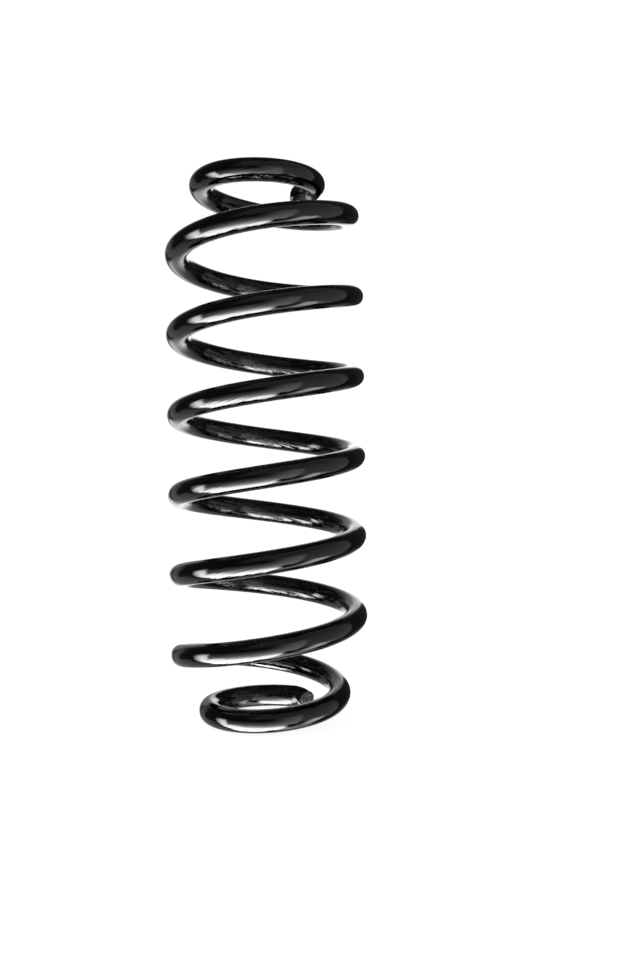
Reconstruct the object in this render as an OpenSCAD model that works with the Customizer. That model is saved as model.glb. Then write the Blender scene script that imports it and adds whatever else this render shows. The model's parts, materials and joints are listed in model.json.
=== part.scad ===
// Coil spring for a car's rear suspension: one round steel bar wound right-handed, with a
// pigtail at each end. The bar is divided into short stretches that meet face to face.
// Squeezing the spring twists the bar, so each stretch turns a little about the bar's own
// line, and the coils close up while the bar keeps its length.

/* [Bar] */
// Diameter of the round bar, with its coating
wire_d = 15; // [12:0.5:16]
// Clearance between the end faces of two neighbouring stretches
stretch_gap = 0.02; // [0.01:0.01:0.1]

/* [Full-size coils] */
// Outside diameter of the full-size coils
coil_od = 132.5; // [126:0.5:140]
// Rise of the full-size coils in one turn
pitch = 53.3; // [45:0.1:60]
// Angle around the axis that one stretch of the bar covers
stretch_angle = 60.1; // [59:0.1:60.5]
// Direction of the lower tip, anticlockwise from +X as seen from above
tip_angle = 43; // [0:1:359]

/* [Lower pigtail] */
// Outside diameter of the curve that the lower tip lies on
lower_tip_od = 86; // [78:1:96]
// Growth of the lower pigtail's radius in one turn
lower_spread = 13; // [8:1:16]
// Turns from the lower tip at which the pigtail starts to widen faster
lower_widen_from = 0.9; // [0.6:0.05:1]
// Turns from the lower tip at which the coils reach full size
lower_widen_to = 1.4; // [1.3:0.05:1.6]

/* [Upper pigtail] */
// Outside diameter of the curve that the upper tip lies on
upper_tip_od = 82; // [77:1:96]
// Growth of the upper pigtail's radius in one turn
upper_spread = 3; // [0:1:10]
// Turns from the upper tip at which the pigtail starts to widen faster
upper_widen_from = 0.2; // [0.1:0.05:0.5]
// Turns from the upper tip at which the coils reach full size
upper_widen_to = 1.4; // [1.3:0.05:1.6]
// Fall of the bar towards the upper tip in one turn
upper_dip = 4; // [0:0.5:6]

/* [Seats] */
// Stretches at each end that lie flat on the seat
seat_stretches = 3; // [2:1:4]
// Turns from each tip at which the bar climbs at the full pitch
climb_turns = 0.9; // [0.8:0.05:1.1]

/* [Hidden] */
SIXTHS = 6;
COILS = 6;
LOWER_NAMES = [for (s = [1 : SIXTHS]) str("lower_pigtail_", s)];
COIL_NAMES = [for (c = [1 : COILS]) for (s = [1 : SIXTHS]) str("coil_", c, "_", s)];
UPPER_NAMES = [for (s = [1 : SIXTHS]) str("upper_pigtail_", s)];
NODES = concat(LOWER_NAMES, COIL_NAMES, UPPER_NAMES);

wire_r = wire_d / 2;
coil_r = coil_od / 2 - wire_r;
lower_tip_r = lower_tip_od / 2 - wire_r;
upper_tip_r = upper_tip_od / 2 - wire_r;
stretch_turns = stretch_angle / 360;
turns = len(NODES) * stretch_turns;
seat_turns = seat_stretches * stretch_turns;
lost_turns = (seat_turns + climb_turns) / 2;
tangent_step = 0.0005;
bar_facets = 48;
ring_facets = 120;
gloss_black = [0.04, 0.04, 0.045];

function unit(v) = v / norm(v);

function share(x, from, to) = max(0, min(1, (x - from) / (to - from)));

// A smooth step from 0 to 1 between two places
function ease(x, from, to) =
    let (s = share(x, from, to))
    s * s * (3 - 2 * s);

// How far inside the full-size coils the bar's centre line lies, so many turns from a tip
function pigtail_inset(from_tip, tip_r, spread, from, to) =
    (coil_r - tip_r - spread * from_tip) * (1 - ease(from_tip, from, to));

function radius_at(u) =
    coil_r
    - pigtail_inset(u, lower_tip_r, lower_spread, lower_widen_from, lower_widen_to)
    - pigtail_inset(turns - u, upper_tip_r, upper_spread, upper_widen_from, upper_widen_to);

// Turns' worth of full pitch gained by a bar that lies flat and then climbs ever faster
function climbed(from_tip) =
    let (s = share(from_tip, seat_turns, climb_turns))
    (climb_turns - seat_turns) * s * s / 2 + max(0, from_tip - climb_turns);

function height_at(u) =
    let (from_top = turns - u)
    wire_r + pitch * climbed(u)
    - (pitch + upper_dip) * (lost_turns - from_top + climbed(from_top));

// The bar's centre line, so many turns up from the lower tip
function point_at(u) =
    let (angle = tip_angle + 360 * u)
    [radius_at(u) * cos(angle), radius_at(u) * sin(angle), height_at(u)];

function tangent_at(u) = unit(point_at(u + tangent_step) - point_at(u - tangent_step));

// A knot is a point of the centre line with the bar's direction there
function knot_at(stretches) =
    let (u = stretches * stretch_turns)
    [point_at(u), tangent_at(u)];

// The knot between a and b where two round arcs meet and run on into each other
function knot_between(a, b) =
    let (
        chord = b[0] - a[0],
        both = a[1] + b[1],
        bend = 2 * (1 - a[1] * b[1]),
        along = chord * both,
        reach = (sqrt(along * along + bend * (chord * chord)) - along) / bend
    )
    [(a[0] + b[0] + reach * (a[1] - b[1])) / 2, unit(chord - reach * both)];

// Two stretches lie between each pair of knots on the centre line
function knot(i) =
    i % 2 == 0 ? knot_at(i) : knot_between(knot_at(i - 1), knot_at(i + 1));

// Places a shape with its X and Y axes along two given directions
module place(origin, x, y) {
    z = cross(x, y);
    multmatrix([
        [x[0], y[0], z[0], origin[0]],
        [x[1], y[1], z[1], origin[1]],
        [x[2], y[2], z[2], origin[2]],
        [0, 0, 0, 1]
    ])
        children();
}

// A round bar bent to one arc, from one knot to the next
module bent_bar(from, to) {
    chord = to[0] - from[0];
    inward = unit(chord - (chord * from[1]) * from[1]);
    half_bend = acos(unit(chord) * from[1]);
    bend_r = norm(chord) / (2 * sin(half_bend));
    trim = stretch_gap / 2 / bend_r * 180 / PI;
    place(from[0] + bend_r * inward, -inward, from[1])
        rotate([0, 0, trim])
            rotate_extrude(angle = 2 * (half_bend - trim), $fn = ring_facets)
                translate([bend_r, 0])
                    circle(d = wire_d, $fn = bar_facets);
}

module stretch(i) {
    color(gloss_black)
        bent_bar(knot(i), knot(i + 1));
}

for (i = [0 : len(NODES) - 1])
    stretch(i);
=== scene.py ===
"""Looks of the coil spring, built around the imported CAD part. Lengths are metres in the part's frame."""

import json
import math
from collections import namedtuple

import bpy
import numpy as np
from mathutils import Matrix, Vector, noise


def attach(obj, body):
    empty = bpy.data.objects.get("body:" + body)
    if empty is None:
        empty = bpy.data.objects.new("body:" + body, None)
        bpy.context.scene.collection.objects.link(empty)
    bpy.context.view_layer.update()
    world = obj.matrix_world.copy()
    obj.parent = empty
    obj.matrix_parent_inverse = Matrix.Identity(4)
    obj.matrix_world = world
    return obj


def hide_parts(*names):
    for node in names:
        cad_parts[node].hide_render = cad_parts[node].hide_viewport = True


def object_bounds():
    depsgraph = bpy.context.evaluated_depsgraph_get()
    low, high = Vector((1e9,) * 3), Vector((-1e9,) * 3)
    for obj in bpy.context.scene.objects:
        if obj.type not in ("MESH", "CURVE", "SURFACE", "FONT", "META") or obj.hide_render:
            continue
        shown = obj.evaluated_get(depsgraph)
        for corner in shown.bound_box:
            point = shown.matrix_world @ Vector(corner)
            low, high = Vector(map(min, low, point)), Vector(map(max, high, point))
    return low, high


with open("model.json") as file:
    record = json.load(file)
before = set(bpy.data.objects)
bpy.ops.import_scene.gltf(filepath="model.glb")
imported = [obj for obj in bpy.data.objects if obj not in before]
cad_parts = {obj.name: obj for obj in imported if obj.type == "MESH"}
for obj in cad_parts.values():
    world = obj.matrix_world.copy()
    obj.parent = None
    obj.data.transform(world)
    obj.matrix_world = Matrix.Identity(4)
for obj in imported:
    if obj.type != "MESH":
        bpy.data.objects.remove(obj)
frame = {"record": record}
cad_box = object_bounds()

# ---- Driving dimensions of the bar, the same as in the CAD source ----
WIRE_R = 0.0075
STRETCH_GAP = 0.00002
COIL_OD = 0.1325
PITCH = 0.0533
STRETCH_ANGLE = 60.1
TIP_ANGLE = 43
LOWER_TIP_OD = 0.086
LOWER_SPREAD = 0.013
LOWER_WIDENING = (0.9, 1.4)
UPPER_TIP_OD = 0.082
UPPER_SPREAD = 0.003
UPPER_WIDENING = (0.2, 1.4)
UPPER_DIP = 0.004
SEAT_STRETCHES = 3
CLIMB_TURNS = 0.9

# Each node is one stretch of the bar. The bodies list them from the lower tip to the upper one.
STRETCHES = [
    (node, body)
    for body, nodes in frame["record"]["behaviour"]["bodies"].items()
    for node in nodes
]
LAST = len(STRETCHES) - 1
# Each moving body turns about the bar's own line where its first stretch begins
HINGES = {
    joint["child"]: (np.array(joint["pos_m"]), np.array(joint["axis"]))
    for joint in frame["record"]["behaviour"]["joints"]
}
STRETCH_TURNS = STRETCH_ANGLE / 360
TURNS = len(STRETCHES) * STRETCH_TURNS
SEAT_TURNS = SEAT_STRETCHES * STRETCH_TURNS
LOST_TURNS = (SEAT_TURNS + CLIMB_TURNS) / 2
COIL_R = COIL_OD / 2 - WIRE_R

# ---- Fineness of the meshes ----
SIDES = 72
RINGS = 48
TIP_RINGS = 40
FACE_RINGS = 26
LENGTH_SAMPLES = 8001
TANGENT_STEP = 0.0005
HINGE_STEPS = 3
# Turn around the bar of each vertex of a ring: the first one faces away from the spring's axis
RING_TURN = np.linspace(0, 2 * np.pi, SIDES, endpoint=False)
RING_X = np.cos(RING_TURN)
RING_Y = np.sin(RING_TURN)

# How far the hidden faces between stretches are dished
JUNCTION_DISH = 0.0002

# Spaces of the straight bar for its textures, turned around the bar by so many radians per metre
SPACES = {"bar_space": 0, "outer_mark_space": 28, "inner_mark_space": -20}


# ---- The bar's centre line ----
def share(x, start, end):
    return np.clip((x - start) / (end - start), 0, 1)


def ease(x, start, end):
    """A smooth step from 0 to 1 between two places."""
    s = share(x, start, end)
    return s * s * (3 - 2 * s)


def unit(v):
    return v / np.linalg.norm(v, axis=-1, keepdims=True)


def pigtail_inset(from_tip, tip_od, spread, widening):
    """How far inside the full-size coils the bar's centre line lies, so many turns from a tip."""
    tip_r = tip_od / 2 - WIRE_R
    return (COIL_R - tip_r - spread * from_tip) * (1 - ease(from_tip, *widening))


def climbed(from_tip):
    """Turns' worth of full pitch gained by a bar that lies flat and then climbs ever faster."""
    s = share(from_tip, SEAT_TURNS, CLIMB_TURNS)
    return (CLIMB_TURNS - SEAT_TURNS) * s * s / 2 + np.maximum(0, from_tip - CLIMB_TURNS)


def centre_line(u):
    """Points of the bar's centre line, so many turns up from the lower tip."""
    from_top = TURNS - u
    radius = (
        COIL_R
        - pigtail_inset(u, LOWER_TIP_OD, LOWER_SPREAD, LOWER_WIDENING)
        - pigtail_inset(from_top, UPPER_TIP_OD, UPPER_SPREAD, UPPER_WIDENING)
    )
    lost_at_top = (PITCH + UPPER_DIP) * (LOST_TURNS - from_top + climbed(from_top))
    height = WIRE_R + PITCH * climbed(u) - lost_at_top
    angle = np.radians(TIP_ANGLE + 360 * u)
    return np.stack([radius * np.cos(angle), radius * np.sin(angle), height], -1)


def bar_frames(u):
    """Centre, direction along the bar, direction away from the spring's axis and the third direction."""
    centre = centre_line(u)
    along = unit(centre_line(u + TANGENT_STEP) - centre_line(u - TANGENT_STEP))
    angle = np.radians(TIP_ANGLE + 360 * u)
    away = np.stack([np.cos(angle), np.sin(angle), np.zeros_like(angle)], -1)
    away = unit(away - (away * along).sum(-1, keepdims=True) * along)
    return centre, along, away, np.cross(along, away)


SAMPLE_TURNS = np.linspace(0, TURNS, LENGTH_SAMPLES)
SAMPLE_STEPS = np.linalg.norm(np.diff(centre_line(SAMPLE_TURNS), axis=0), axis=1)
SAMPLE_LENGTHS = np.concatenate([[0], np.cumsum(SAMPLE_STEPS)])


def length_at(u):
    return np.interp(u, SAMPLE_TURNS, SAMPLE_LENGTHS)


def turns_at(length):
    return np.interp(length, SAMPLE_LENGTHS, SAMPLE_TURNS)


def hinge_before(number):
    """Place and axis of the hinge at the lower end of a stretch, or None where nothing turns."""
    if number in (0, LAST + 1) or STRETCHES[number][1] == STRETCHES[number - 1][1]:
        return None
    return HINGES[STRETCHES[number][1]]


def start_of(number):
    """Turns from the lower tip to a stretch's lower end, where the bar's line meets its hinge's plane."""
    u = number * STRETCH_TURNS
    hinge = hinge_before(number)
    if hinge is None:
        return u
    place, axis = hinge
    for _ in range(HINGE_STEPS):
        centre, along = (found[0] for found in bar_frames(np.array([u]))[:2])
        u = turns_at(length_at(u) - (centre - place) @ axis / (along @ axis))
    return u


# ---- Cropped ends of the bar ----
# The shears drag one side of each end over, by up to drop over a length of reach, and leave a burr on the
# other side. The middle of the cut face lies at depth behind the CAD face, and the face deepens towards the
# dragged side by slope. The last value gives each end its own place in the noise.
Crop = namedtuple("Crop", "drop reach depth slope noise_place")
LOWER_CROP = Crop(0.0026, 0.013, 0.0006, -0.18, 1.0)
UPPER_CROP = Crop(0.0006, 0.0025, 0.0003, 0.06, 2.0)
# Length of bar whose rings a cropped end may reshape
TIP_LENGTH = 0.016
# Turns around the bar start away from the spring's axis and go down, so this is the upper side
DRAG_SIDE = math.radians(-90)
# Drop and reach of the edge all round, to which the dragged side adds its own
EDGE_DROP = 0.0003
EDGE_REACH = 0.0012
BURR_HEIGHT = 0.00022
BURR_WIDTH = 0.0004
# The burr comes and goes along the edge. These are its usual and its largest share of BURR_HEIGHT.
BURR_USUAL = 0.6
BURR_MOST = 2
# Unevenness around the edge: the radius of the circle on which its noise is read, and the noise's size
EDGE_CIRCLE = 0.01
EDGE_PATCH = 0.009
# The wave across the cut face, and its radians per metre
WAVE_HEIGHT = 0.00025
WAVE_RATE = 2.6 / WIRE_R
# Where the sheared part of the face turns into the torn part, measured from the bar's middle line away
# from the dragged side
TEAR_FROM = -0.007
TEAR_TO = -0.004
# Size and height of the reliefs on the face
COARSE_GRAIN = (0.0022, 0.00035)
FINE_GRAIN = (0.0009, 0.00022)
SHEAR_LINES = (0.0009, 0.00006)
# The fine grain is read at another place in the noise, and the shear lines from noise drawn out along y
GRAIN_SHIFT = 0.05
SHEAR_LINE_DRAW = np.array([1, 0.15, 1])
# Fractal noise: how fast its finer layers fade, how much finer each one is, and how many there are
ROUGHNESS = (0.8, 2.1, 5)


def rough(points, size):
    """Fractal noise between about -1 and 1 at each point, with patches of about the given size."""
    return np.array([noise.fractal(Vector(p) / size, *ROUGHNESS) for p in points])


def relief(points, grain):
    """Noise of one size, as a height at each point."""
    size, height = grain
    return rough(points, size) * height


def tip_radius(depth, crop):
    """Radius of the bar around a ring, at a depth behind a cropped end."""
    edge = np.stack([RING_X, RING_Y, np.full(SIDES, crop.noise_place)], -1)
    drag = 0.5 + 0.5 * np.cos(RING_TURN - DRAG_SIDE)
    uneven = rough(edge * EDGE_CIRCLE, EDGE_PATCH)
    drop = EDGE_DROP + crop.drop * drag ** 2 + EDGE_DROP * uneven
    reach = EDGE_REACH + (crop.reach - EDGE_REACH) * drag ** 2
    rolled = drop * np.clip(1 - depth / reach, 0, 1) ** 2
    burr_height = BURR_HEIGHT * (1 - drag) * np.clip(BURR_USUAL + uneven, 0, BURR_MOST)
    burr = burr_height * np.exp(-((depth - BURR_WIDTH) / BURR_WIDTH) ** 2)
    return WIRE_R - rolled + burr


def face_depth(x, y, crop):
    """Depth of the cut face behind the CAD face: a slant, a wave and the torn grain of the fracture."""
    across = x * math.cos(DRAG_SIDE) + y * math.sin(DRAG_SIDE)
    slant = crop.depth + crop.slope * across
    wave = WAVE_HEIGHT * np.sin(across * WAVE_RATE)
    places = np.stack([x, y, np.full_like(x, crop.noise_place * EDGE_CIRCLE)], -1)
    grain = relief(places, COARSE_GRAIN) + relief(places + GRAIN_SHIFT, FINE_GRAIN)
    torn = ease(-across, TEAR_FROM, TEAR_TO)
    return slant + wave + torn * grain + (1 - torn) * relief(places * SHEAR_LINE_DRAW, SHEAR_LINES)


# ---- Meshes ----
COAT_SLOT = 0
CUT_SLOT = 1

# One end of a stretch: its row among the rings, the way into the stretch (1 is up the bar, -1 is down),
# its crop and its hinge. The last two may be None.
End = namedtuple("End", "row inward crop hinge")

# The rings of a stretch. radius and slide, how far a vertex is moved along the bar, hold a value for each
# vertex. reshaped says which rings take their normals from the faces around them.
Bar = namedtuple("Bar", "lengths centre along away third radius slide reshaped")


class StretchMesh:
    """Points and faces of one stretch, gathered part by part."""

    def __init__(self):
        self.count = 0
        self.points = []
        self.spaces = []
        self.normals = []
        self.quads = []
        self.quad_slots = []
        self.fans = []
        self.fan_slots = []

    def add_points(self, points, space, normals=None):
        """Adds points and returns their numbers. A zero normal is worked out later from the faces."""
        numbers = np.arange(self.count, self.count + len(points))
        self.count += len(points)
        self.points.append(points)
        self.spaces.append(space)
        self.normals.append(np.zeros_like(points) if normals is None else normals)
        return numbers

    def add_quads(self, ring, following, slot, flipped=False):
        """Adds the quads between two rings, turned over if flipped."""
        corners = [ring, np.roll(ring, -1), np.roll(following, -1), following]
        if flipped:
            corners = [corners[0], corners[3], corners[2], corners[1]]
        self.quads.append(np.stack(corners, -1))
        self.quad_slots += [slot] * len(ring)

    def add_fan(self, ring, middle, slot, flipped):
        """Adds the flat triangles that close a ring."""
        ring = ring[::-1] if flipped else ring
        self.fans.append(np.stack([ring, np.roll(ring, -1), np.full(len(ring), middle)], -1))
        self.fan_slots += [slot] * len(ring)

    def point_normals(self):
        """The normals given with the points, or the sum of the normals of the quads around a point."""
        points = np.concatenate(self.points)
        normals = np.concatenate(self.normals)
        quads = np.concatenate(self.quads)
        a, b, c, d = (points[quads[:, corner]] for corner in range(4))
        summed = np.zeros_like(points)
        for corner in range(4):
            np.add.at(summed, quads[:, corner], np.cross(c - a, d - b))
        # The tiny number keeps a point without quads from dividing by zero
        return np.where(normals.any(axis=1)[:, None], normals, unit(summed + 1e-12))


def ends_of(number):
    """The lower and the upper end of a stretch."""
    lower_crop = LOWER_CROP if number == 0 else None
    upper_crop = UPPER_CROP if number == LAST else None
    return (
        End(0, 1, lower_crop, hinge_before(number)),
        End(-1, -1, upper_crop, hinge_before(number + 1)),
    )


def ring_lengths(start, end, number):
    """Lengths along the bar at which a stretch has its rings, close together at a cropped end."""
    fine = np.linspace(0, TIP_LENGTH, TIP_RINGS, endpoint=False)
    if number == 0:
        return np.concatenate([start + fine, np.linspace(start + TIP_LENGTH, end, RINGS)])
    if number == LAST:
        return np.concatenate([np.linspace(start, end - TIP_LENGTH, RINGS), end - fine[::-1]])
    return np.linspace(start, end, RINGS + 1)


def round_bar(number):
    """Rings of one stretch, evenly round."""
    u0, u1 = start_of(number), start_of(number + 1)
    lengths = ring_lengths(length_at(u0), length_at(u1), number)
    u = turns_at(lengths)
    u[0], u[-1] = u0, u1
    radius = np.full((len(u), SIDES), WIRE_R)
    return Bar(lengths, *bar_frames(u), radius, np.zeros_like(radius), np.zeros(len(u), bool))


def crop_bar(bar, end):
    """Shapes the rings near a cropped end and slides them along the bar to meet its cut face."""
    depth = np.abs(bar.lengths - bar.lengths[end.row])
    bar.reshaped[:] = depth < TIP_LENGTH
    bar.radius[bar.reshaped] = tip_radius(depth[bar.reshaped, None], end.crop)
    rim = face_depth(bar.radius[end.row] * RING_X, bar.radius[end.row] * RING_Y, end.crop)
    bar.slide[:] = end.inward * np.clip(1 - depth / TIP_LENGTH, 0, 1)[:, None] * rim


def seated(ring, along, end):
    """Moves an end ring along the bar into its hinge's plane, less half of the gap between stretches."""
    if end.hinge is not None:
        place, axis = end.hinge
        ring = ring - ((ring - place) @ axis / (along @ axis))[:, None] * along
    return ring + end.inward * STRETCH_GAP / 2 * along


def add_side(mesh, bar, ends):
    """Adds the bar's round side. Returns its points and their numbers, ring by ring."""
    outward = bar.away[:, None] * RING_X[:, None] + bar.third[:, None] * RING_Y[:, None]
    around = bar.centre[:, None] + bar.radius[..., None] * outward
    points = around + bar.slide[..., None] * bar.along[:, None]
    for end in ends:
        if end.crop is None:
            points[end.row] = seated(points[end.row], bar.along[end.row], end)
    space = np.stack([bar.radius * RING_X, bar.radius * RING_Y, bar.lengths[:, None] + bar.slide], -1)
    normals = np.where(bar.reshaped[:, None, None], 0, outward)
    numbers = mesh.add_points(*(values.reshape(-1, 3) for values in (points, space, normals)))
    rings = numbers.reshape(-1, SIDES)
    for ring, following in zip(rings[:-1], rings[1:]):
        mesh.add_quads(ring, following, COAT_SLOT)
    return points, rings


def add_junction(mesh, bar, end, ring_points, ring):
    """Adds the slightly dished face where the bar goes on in the next stretch."""
    middle = ring_points.mean(axis=0) + end.inward * JUNCTION_DISH * bar.along[end.row]
    space = np.array([[0, 0, bar.lengths[end.row]]])
    number = mesh.add_points(middle[None], space)[0]
    mesh.add_fan(ring, number, COAT_SLOT, flipped=end.inward == 1)


def on_cut_face(bar, end, x, y):
    """Points of the cut face and their places in the straight bar."""
    slide = end.inward * face_depth(x, y, end.crop)
    points = (
        bar.centre[end.row]
        + x[:, None] * bar.away[end.row]
        + y[:, None] * bar.third[end.row]
        + slide[:, None] * bar.along[end.row]
    )
    return points, np.stack([x, y, bar.lengths[end.row] + slide], -1)


def add_cut_face(mesh, bar, end, ring):
    """Adds the torn face of a cropped end, in rings that shrink to its middle."""
    flipped = end.inward == 1
    for scale in np.linspace(1, 0, FACE_RINGS + 1)[1:-1]:
        radius = bar.radius[end.row] * scale
        inner = mesh.add_points(*on_cut_face(bar, end, radius * RING_X, radius * RING_Y))
        mesh.add_quads(ring, inner, CUT_SLOT, flipped)
        ring = inner
    middle = mesh.add_points(*on_cut_face(bar, end, np.zeros(1), np.zeros(1)))[0]
    mesh.add_fan(ring, middle, CUT_SLOT, flipped)


def add_spaces(data, space):
    """Stores each vertex's place in the straight bar, once for each turned space."""
    x, y, along = space.T
    for name, spiral in SPACES.items():
        turned = spiral * along
        turned_x = x * np.cos(turned) - y * np.sin(turned)
        turned_y = x * np.sin(turned) + y * np.cos(turned)
        place = np.stack([turned_x, turned_y, along], -1)
        attribute = data.attributes.new(name, "FLOAT_VECTOR", "POINT")
        attribute.data.foreach_set("vector", place.astype(np.float32).ravel())


def set_normals(data, point_normals, first_fan):
    """Smooth normals everywhere except on the flat fans."""
    corners = np.zeros(len(data.loops), np.int32)
    data.loops.foreach_get("vertex_index", corners)
    normals = point_normals[corners]
    for face in data.polygons[first_fan:]:
        normals[face.loop_start : face.loop_start + face.loop_total] = face.normal
    data.normals_split_custom_set(normals.tolist())


def to_object(mesh, name):
    """Makes a Blender object of the gathered points and faces."""
    data = bpy.data.meshes.new(name)
    faces = np.concatenate(mesh.quads).tolist() + np.concatenate(mesh.fans).tolist()
    data.from_pydata(np.concatenate(mesh.points).tolist(), [], faces)
    data.materials.append(COAT)
    data.materials.append(CUT)
    data.polygons.foreach_set("material_index", mesh.quad_slots + mesh.fan_slots)
    data.polygons.foreach_set("use_smooth", [True] * len(faces))
    add_spaces(data, np.concatenate(mesh.spaces))
    set_normals(data, mesh.point_normals(), len(mesh.quad_slots))
    piece = bpy.data.objects.new(name, data)
    bpy.context.scene.collection.objects.link(piece)
    return piece


def stretch_piece(node, body, number):
    """One stretch of the bar as a closed mesh, with a cut face where it ends the bar."""
    ends = ends_of(number)
    bar = round_bar(number)
    for end in ends:
        if end.crop is not None:
            crop_bar(bar, end)
    mesh = StretchMesh()
    points, rings = add_side(mesh, bar, ends)
    for end in ends:
        if end.crop is None:
            add_junction(mesh, bar, end, points[end.row], rings[end.row])
        else:
            add_cut_face(mesh, bar, end, rings[end.row])
    piece = to_object(mesh, node + "_bar")
    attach(piece, body)
    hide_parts(node)


# ---- Nodes of the materials ----
def new_material(name):
    material = bpy.data.materials.new(name)
    material.use_nodes = True
    material.node_tree.nodes.clear()
    return material, material.node_tree


def add_node(tree, kind, inputs):
    """Adds a node. Each input is set to a value, or linked if the value is another node's output."""
    node = tree.nodes.new("ShaderNode" + kind)
    for name, value in inputs.items():
        if isinstance(value, bpy.types.NodeSocket):
            tree.links.new(value, node.inputs[name])
        else:
            node.inputs[name].default_value = value
    return node


def calculate(tree, operation, *values):
    """Result of a Math node."""
    node = add_node(tree, "Math", dict(enumerate(values)))
    node.operation = operation
    return node.outputs[0]


def place_in(tree, space):
    """Place of the shaded point in one of the straight bar's spaces."""
    node = add_node(tree, "Attribute", {})
    node.attribute_name = space
    return node.outputs["Vector"]


def bar_noise(tree, stretch, scale, detail=2.0, roughness=0.5, space="bar_space"):
    """Noise in the straight bar's own space, drawn out along the bar by stretch."""
    drawn = add_node(tree, "Mapping", {"Vector": place_in(tree, space), "Scale": (1, 1, 1 / stretch)})
    sizes = {"Scale": scale, "Detail": detail, "Roughness": roughness}
    return add_node(tree, "TexNoise", {"Vector": drawn.outputs["Vector"], **sizes}).outputs["Fac"]


def ramp(tree, value, low, high, start=0.35, end=0.65):
    """A smooth change from low to high as the value goes from start to end."""
    limits = {"From Min": start, "From Max": end, "To Min": low, "To Max": high}
    node = add_node(tree, "MapRange", {"Value": value, **limits})
    node.interpolation_type = "SMOOTHSTEP"
    return node.outputs["Result"]


def inner_side(tree):
    """1 on the side of the bar that faces the spring's axis, 0 on the other side."""
    split = add_node(tree, "SeparateXYZ", {"Vector": place_in(tree, "bar_space")})
    return ramp(tree, split.outputs["X"], 1, 0, start=-0.4 * WIRE_R, end=0.3 * WIRE_R)


def ridges(tree, value):
    """Folds noise about its middle, so its slopes meet in sharp creases."""
    return calculate(tree, "ABSOLUTE", calculate(tree, "SUBTRACT", value, 0.5))


def bump(tree, pattern, height, under=None):
    """Normals of a pattern raised by so many metres, on top of the normals under it."""
    inputs = {"Strength": 1.0, "Distance": height, "Height": pattern}
    if under is not None:
        inputs["Normal"] = under
    return add_node(tree, "Bump", inputs).outputs["Normal"]


def mix_colour(tree, share_of_second, first, second):
    node = tree.nodes.new("ShaderNodeMix")
    node.data_type = "RGBA"
    factor, colour_a, colour_b = node.inputs[0], node.inputs[6], node.inputs[7]
    colour_a.default_value = (*first, 1)
    colour_b.default_value = (*second, 1)
    tree.links.new(share_of_second, factor)
    return node.outputs[2]


# ---- Materials of the spring ----
COAT_IOR = 1.5


def coat_shader(tree, roughness, colour, normal):
    """The paint's shader, with nodes' outputs for its roughness, colour and normal."""
    looks = {"IOR": COAT_IOR, "Roughness": roughness, "Base Color": colour, "Normal": normal}
    shader = add_node(tree, "BsdfPrincipled", looks)
    add_node(tree, "OutputMaterial", {"Surface": shader.outputs["BSDF"]})


def gloss_black_coat():
    """Gloss black powder coat over drawn bar: orange peel, drawing lines and scratches along the bar."""
    material, tree = new_material("gloss_black_coat")
    swell = bar_noise(tree, stretch=5, scale=130, detail=1.0)
    peel = bar_noise(tree, stretch=1.6, scale=620, detail=1.5)
    lines = bar_noise(tree, stretch=12, scale=560, detail=1.0, roughness=0.4, space="outer_mark_space")
    patches = ramp(tree, bar_noise(tree, stretch=3, scale=95, detail=1.0), 0, 1, start=0.44, end=0.60)
    scratches = bar_noise(tree, stretch=16, scale=620, detail=1.5, space="inner_mark_space")
    haze = bar_noise(tree, stretch=6, scale=240, detail=4.0, roughness=0.6)
    patchy_lines = calculate(tree, "MULTIPLY", ridges(tree, lines), patches)
    inner_scratches = calculate(tree, "MULTIPLY", ridges(tree, scratches), inner_side(tree))
    normal = bump(tree, swell, height=0.00010)
    normal = bump(tree, patchy_lines, height=0.00024, under=normal)
    normal = bump(tree, inner_scratches, height=0.00024, under=normal)
    normal = bump(tree, peel, height=0.000008, under=normal)
    colour = mix_colour(tree, haze, (0.0003, 0.0003, 0.0004), (0.0007, 0.0007, 0.0008))
    coat_shader(tree, ramp(tree, haze, 0.05, 0.10), colour, normal)
    return material


def coated_cut_face():
    """The same coat, thin over the torn face of a cropped end."""
    material, tree = new_material("coated_cut_face")
    grain = bar_noise(tree, stretch=1, scale=520, detail=2.0, roughness=0.6)
    patches = bar_noise(tree, stretch=1, scale=500, detail=3.0)
    colour = mix_colour(tree, patches, (0.006, 0.006, 0.006), (0.03, 0.029, 0.028))
    normal = bump(tree, grain, height=0.0011)
    coat_shader(tree, ramp(tree, patches, 0.06, 0.16), colour, normal)
    return material


COAT = gloss_black_coat()
CUT = coated_cut_face()

for number, (node, body) in enumerate(STRETCHES):
    stretch_piece(node, body, number)

# ---- Studio cards ----
STUDIO_CENTRE = Vector((0, 0, (cad_box[0].z + cad_box[1].z) / 2))
CARD_STEPS = 16
# The least share of a card over which its edge fades
SHARP = 0.001
ALL_BUT_REFLECTIONS = ["camera", "diffuse", "shadow", "transmission", "volume_scatter"]


def direction(azimuth, elevation):
    """Azimuth 0 looks along +Y and 90 along +X."""
    a, e = math.radians(azimuth), math.radians(elevation)
    return Vector((math.sin(a) * math.cos(e), math.cos(a) * math.cos(e), math.sin(e)))


def even_glow(name, strength):
    """A glow of the same strength all over."""
    material, tree = new_material(name)
    material.cycles.emission_sampling = "NONE"
    glow = add_node(tree, "Emission", {"Strength": strength})
    add_node(tree, "OutputMaterial", {"Surface": glow.outputs["Emission"]})
    return material


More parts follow.
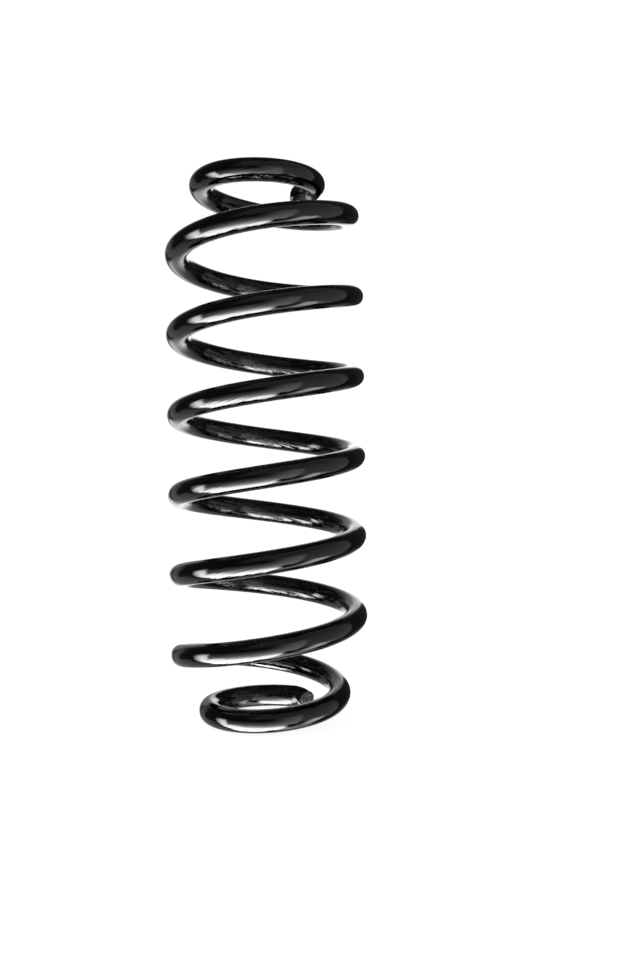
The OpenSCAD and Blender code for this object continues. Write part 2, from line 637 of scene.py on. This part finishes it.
def card_glow(name, bottom, top, fades):
    """A glow that changes evenly in stops from bottom to top and clears towards the card's sides."""
    material, tree = new_material(name)
    material.cycles.emission_sampling = "NONE"
    split = add_node(tree, "SeparateXYZ", {"Vector": add_node(tree, "UVMap", {}).outputs["UV"]})
    across, upwards = split.outputs["X"], split.outputs["Y"]
    strength = calculate(tree, "MULTIPLY", calculate(tree, "POWER", top / bottom, upwards), bottom)
    left, right, low, high = (max(fade, SHARP) for fade in fades)
    cover = ramp(tree, across, 0, 1, 0, left)
    for value, edge, inside in ((across, 1, 1 - right), (upwards, 0, low), (upwards, 1, 1 - high)):
        cover = calculate(tree, "MULTIPLY", cover, ramp(tree, value, 0, 1, edge, inside))
    clear = add_node(tree, "BsdfTransparent", {}).outputs["BSDF"]
    glow = add_node(tree, "Emission", {"Strength": strength}).outputs["Emission"]
    mixed = add_node(tree, "MixShader", {"Fac": cover, 1: clear, 2: glow})
    add_node(tree, "OutputMaterial", {"Surface": mixed.outputs["Shader"]})
    return material


def stage_mesh(name, points, faces, material, unseen_by):
    """A piece of the studio. unseen_by lists the kinds of ray that pass it by."""
    data = bpy.data.meshes.new(name)
    data.from_pydata(points, [], faces)
    data.materials.append(material)
    piece = bpy.data.objects.new(name, data)
    bpy.context.scene.collection.objects.link(piece)
    for ray in unseen_by:
        setattr(piece, "visible_" + ray, False)
    return data


def card(name, corners, bottom, top, fades, distance):
    """A glowing card seen only in reflections. Its corners are directions as seen from the spring."""
    low_left, low_right, high_right, high_left = (np.array(corner, float) for corner in corners)
    points, places = [], []
    for i in range(CARD_STEPS + 1):
        for j in range(CARD_STEPS + 1):
            s, t = i / CARD_STEPS, j / CARD_STEPS
            low = (1 - s) * low_left + s * low_right
            high = (1 - s) * high_left + s * high_right
            points.append(STUDIO_CENTRE + direction(*((1 - t) * low + t * high)) * distance)
            places.append((s, t))
    row = CARD_STEPS + 1
    firsts = [i * row + j for i in range(CARD_STEPS) for j in range(CARD_STEPS)]
    faces = [(first, first + row, first + row + 1, first + 1) for first in firsts]
    material = card_glow(name, bottom, top, fades)
    data = stage_mesh(name, points, faces, material, ALL_BUT_REFLECTIONS)
    layer = data.uv_layers.new(name="UVMap")
    for loop in data.loops:
        layer.data[loop.index].uv = places[loop.vertex_index]


def box_card(name, left, right, low, high, bottom, top, fades, distance):
    """A card between two azimuths and two elevations."""
    corners = [(left, low), (right, low), (right, high), (left, high)]
    card(name, corners, bottom, top, fades, distance)


# Azimuths and elevations are in degrees. Then come the glow at the bottom and at the top, the shares of
# the card that fade out at the left, right, bottom and top, and its distance. Where cards overlap, the
# nearer one covers the other.
left_gap_corners = [(232, -23), (263, -36), (263, -31), (232, -18)]
card("left_gap", left_gap_corners, 0.8, 0.8, (0.3, 0.2, 0.3, 0.3), 2.4)
box_card("left_strip", 252, 277, -52, 10, 19, 10, (0.2, 0.62, 0.15, 0.3), 2.5)
floor_softbox_corners = [(120, -87), (342, -87), (286, -56), (142, -58)]
card("floor_softbox", floor_softbox_corners, 22, 21, (0.1, 0.1, 0, 0.12), 2.6)
low_left_corners = [(214, -60), (278, -60), (266, -22), (236, -27)]
card("low_left_softbox", low_left_corners, 23, 12, (0.35, 0.05, 0.2, 0.3), 2.65)
box_card("front_left_glow", 190, 277, -60, 10, 28, 0.16, (0.5, 0.05, 0, 0.2), 2.7)
box_card("front_right_strip", 136, 188, -47, 36, 3.1, 0.95, (0.12, 0.8, 0.1, 0.25), 2.75)
box_card("front_glow", 150, 258, -64, 6, 19, 0.22, (0.1, 0.4, 0, 0.2), 2.8)
box_card("right_low_card", 86, 127, -66, -27, 4.6, 7, (0.25, 0.4, 0.3, 0.25), 2.85)
box_card("far_right_floor", 42, 132, -86, -54, 9, 0.6, (0.1, 0.1, 0, 0.2), 2.87)
box_card("right_grey_card", 73, 142, -42, 42, 0.84, 0.4, (0.02, 0.1, 0.15, 0.08), 2.9)
box_card("back_strip", -10, 19, -20, 36, 1.9, 2.0, (0.55, 0.08, 0.1, 0.35), 2.95)
box_card("back_low_card", -30, 25, -34, -16, 0.35, 2.0, (0.2, 0.1, 0.1, 0.15), 2.97)
box_card("back_middle_card", -30, 0, -20, -5, 1.6, 1.3, (0.2, 0.1, 0.2, 0.35), 2.98)
box_card("back_card", -28, 2, -10, 40, 0.26, 0.9, (0.1, 0.02, 0.02, 0.3), 3.0)
box_card("above_back_card", -48, 24, 4, 52, 0.4, 0.35, (0.4, 0.1, 0.1, 0.3), 3.03)
box_card("left_back_card", -57, -33, -30, 22, 0.5, 0.24, (0.25, 0.2, 0, 0.2), 3.05)
box_card("low_back_card", -82, 58, -68, -14, 0.55, 0.4, (0.1, 0.25, 0.05, 0.25), 3.1)
box_card("front_ceiling", 60, 234, 20, 74, 0.27, 0.32, (0.1, 0.15, 0.2, 0.1), 3.15)


# ---- Floor and backdrop ----
ROOM_R = 6.0
ROOM_SIDES = 96
DOME_ROWS = 24
PAPER_GREY = (0.15, 0.15, 0.15, 1)
PAPER_GLOW = 0.9
BACKDROP_GLOW = 1.05


def white_floor():
    """White paper on a light table: most of its light is its own, so shadows on it stay faint."""
    material, tree = new_material("white_floor")
    material.cycles.emission_sampling = "NONE"
    paper = add_node(tree, "BsdfDiffuse", {"Color": PAPER_GREY}).outputs["BSDF"]
    glow = add_node(tree, "Emission", {"Strength": PAPER_GLOW}).outputs["Emission"]
    both = add_node(tree, "AddShader", {0: paper, 1: glow})
    add_node(tree, "OutputMaterial", {"Surface": both.outputs["Shader"]})
    return material


def room_ring(elevation):
    """A level ring of points on the dome, as seen from the middle of the floor."""
    radius, height = ROOM_R * math.cos(elevation), ROOM_R * math.sin(elevation)
    turns = [2 * math.pi * k / ROOM_SIDES for k in range(ROOM_SIDES)]
    return [(radius * math.cos(turn), radius * math.sin(turn), height) for turn in turns]


def dome_face(row, side):
    a = row * ROOM_SIDES + side
    b = row * ROOM_SIDES + (side + 1) % ROOM_SIDES
    return a, a + ROOM_SIDES, b + ROOM_SIDES, b


stage_mesh("floor", room_ring(0), [tuple(range(ROOM_SIDES))], white_floor(), ["glossy"])
dome_points = [point for row in range(DOME_ROWS + 1) for point in room_ring(math.pi / 2 * row / DOME_ROWS)]
dome_faces = [dome_face(row, side) for row in range(DOME_ROWS) for side in range(ROOM_SIDES)]
backdrop = even_glow("white_backdrop", BACKDROP_GLOW)
stage_mesh("white_backdrop", dome_points, dome_faces, backdrop, ["glossy", "shadow"])


# ---- Lamp and room light ----
ROOM_GLOW = 0.055


def soft_lamp(name, azimuth, elevation, distance, size, energy):
    data = bpy.data.lights.new(name, "AREA")
    data.shape = "DISK"
    data.size = size
    data.energy = energy
    lamp = bpy.data.objects.new(name, data)
    bpy.context.scene.collection.objects.link(lamp)
    away = direction(azimuth, elevation)
    lamp.location = STUDIO_CENTRE + away * distance
    lamp.rotation_mode = "QUATERNION"
    lamp.rotation_quaternion = away.to_track_quat("Z", "Y")
    lamp.visible_camera = False
    lamp.visible_glossy = False


def dark_room():
    """Surroundings that glow faintly where no card stands."""
    world = bpy.data.worlds.new("dark_room")
    bpy.context.scene.world = world
    world.use_nodes = True
    background = world.node_tree.nodes["Background"]
    background.inputs["Color"].default_value = (1, 1, 1, 1)
    background.inputs["Strength"].default_value = ROOM_GLOW


soft_lamp("soft_lamp", azimuth=-140, elevation=55, distance=2.0, size=1.4, energy=12)
dark_room()

# ---- Camera ----
CAMERA_DISTANCE = 0.70918
CAMERA_HEIGHT = 0.16904
# Degrees: yaw turns the camera to its right, pitch up and roll anticlockwise
CAMERA_YAW = 2.857
CAMERA_PITCH = -0.717
CAMERA_ROLL = -0.724
# Millimetres
SENSOR_WIDTH = 36.0
LENS = 39.4695


def add_camera():
    """The camera stands at y = -CAMERA_DISTANCE and looks along +Y before it is turned."""
    data = bpy.data.cameras.new("camera")
    data.sensor_width = SENSOR_WIDTH
    data.lens = LENS
    camera = bpy.data.objects.new("camera", data)
    bpy.context.scene.collection.objects.link(camera)
    bpy.context.scene.camera = camera
    look = direction(CAMERA_YAW, CAMERA_PITCH)
    right = direction(CAMERA_YAW + 90, 0)
    up = right.cross(look)
    roll = math.radians(CAMERA_ROLL)
    rolled_right = math.cos(roll) * right + math.sin(roll) * up
    rolled_up = math.cos(roll) * up - math.sin(roll) * right
    turned = Matrix((rolled_right, rolled_up, -look)).transposed().to_4x4()
    camera.matrix_world = Matrix.Translation((0, -CAMERA_DISTANCE, CAMERA_HEIGHT)) @ turned


add_camera()
bpy.context.scene.view_settings.view_transform = "Standard"
